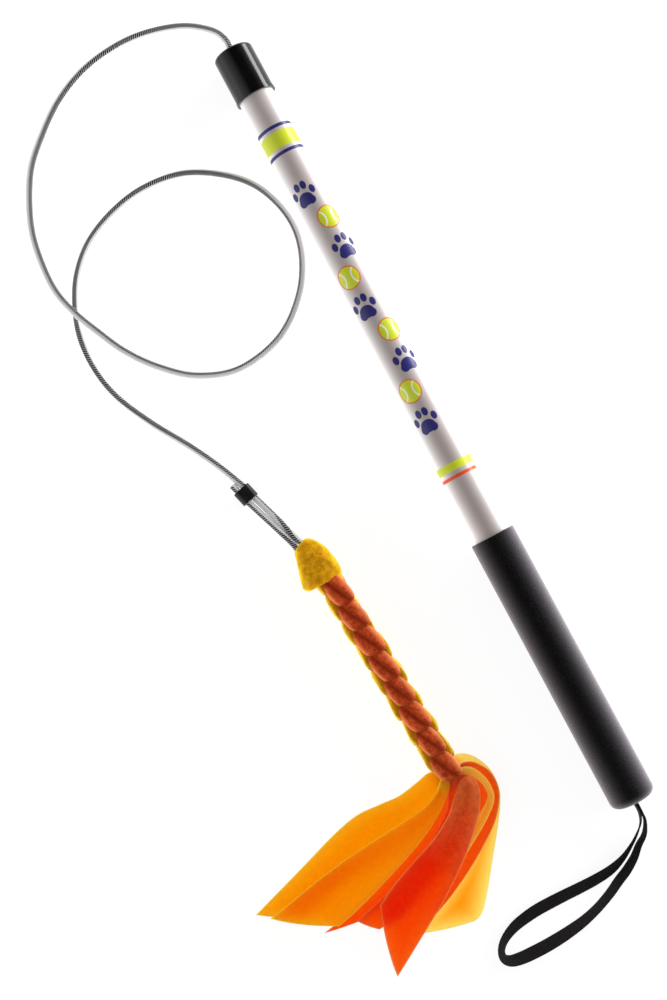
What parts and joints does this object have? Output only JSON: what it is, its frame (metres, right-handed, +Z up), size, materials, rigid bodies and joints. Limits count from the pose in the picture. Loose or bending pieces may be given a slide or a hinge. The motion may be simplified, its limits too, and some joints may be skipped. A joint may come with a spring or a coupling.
{
  "type": "dog flirt pole",
  "caption": "Hand-held dog flirt pole: plastic tube with foam grip and wrist strap, elastic cord from the capped tip, and a braided fleece lure with loose tails.",
  "frame": {"origin": "middle of the foam hand grip, on the tube's axis", "axes": "+Y along the tube towards the tip where the cord leaves, +Z up from the floor that the pole lies on, +X to the right with the cord and lure lying on the -X side"},
  "size_m": [0.2886, 0.7256, 0.033],
  "materials": {
    "tube_plastic": "smooth white extruded tube, satin",
    "cap_vinyl": "black dipped vinyl, glossy",
    "grip_foam": "black closed-cell foam, matt and finely pored",
    "plug_plastic": "black moulded plastic",
    "steel": "plain steel",
    "cord_braid": "white braided elastic cord with a black tracer yarn",
    "sleeve_metal": "black pressed sleeve, satin",
    "fleece_yellow": "golden yellow fleece, napped",
    "fleece_orange": "orange fleece, napped",
    "strap_webbing": "black woven narrow webbing"
  },
  "bodies": {
    "pole": {"pole_tube": "tube_plastic", "tip_cap": "cap_vinyl", "foam_grip": "grip_foam", "end_plug": "plug_plastic", "stop_washer": "steel", "cord_knot": "cord_braid", "cord_inner": "cord_braid", "strap_pin": "steel", "strap_root": "strap_webbing"},
    "strap": {"wrist_strap": "strap_webbing"},
    "cord": {"cord_line": "cord_braid", "crimp_sleeve": "sleeve_metal", "cord_loop": "cord_braid"},
    "lure": {"lure_head": "fleece_yellow", "strand_front": "fleece_orange", "strand_right": "fleece_yellow", "strand_back": "fleece_orange", "strand_left": "fleece_yellow", "tail_1": "fleece_yellow", "tail_2": "fleece_yellow", "tail_3": "fleece_yellow", "tail_4": "fleece_yellow", "tail_5": "fleece_orange", "tail_6": "fleece_orange", "tail_7": "fleece_orange", "tail_8": "fleece_orange"}
  },
  "joints": [
    {"name": "cord_swing", "type": "hinge", "parent": "pole", "child": "cord", "pos_m": [0, 0.5055, 0], "axis": [0, 0, -1], "range_deg": [0, 90]},
    {"name": "lure_swing", "type": "hinge", "parent": "cord", "child": "lure", "pos_m": [-0.1235, 0.15, -0.0069], "axis": [0, 0, -1], "range_deg": [-6, 40]},
    {"name": "strap_swing", "type": "hinge", "parent": "pole", "child": "strap", "pos_m": [0, -0.1072, 0], "axis": [0, 0, 1], "range_deg": [0, 85]}
  ]
}
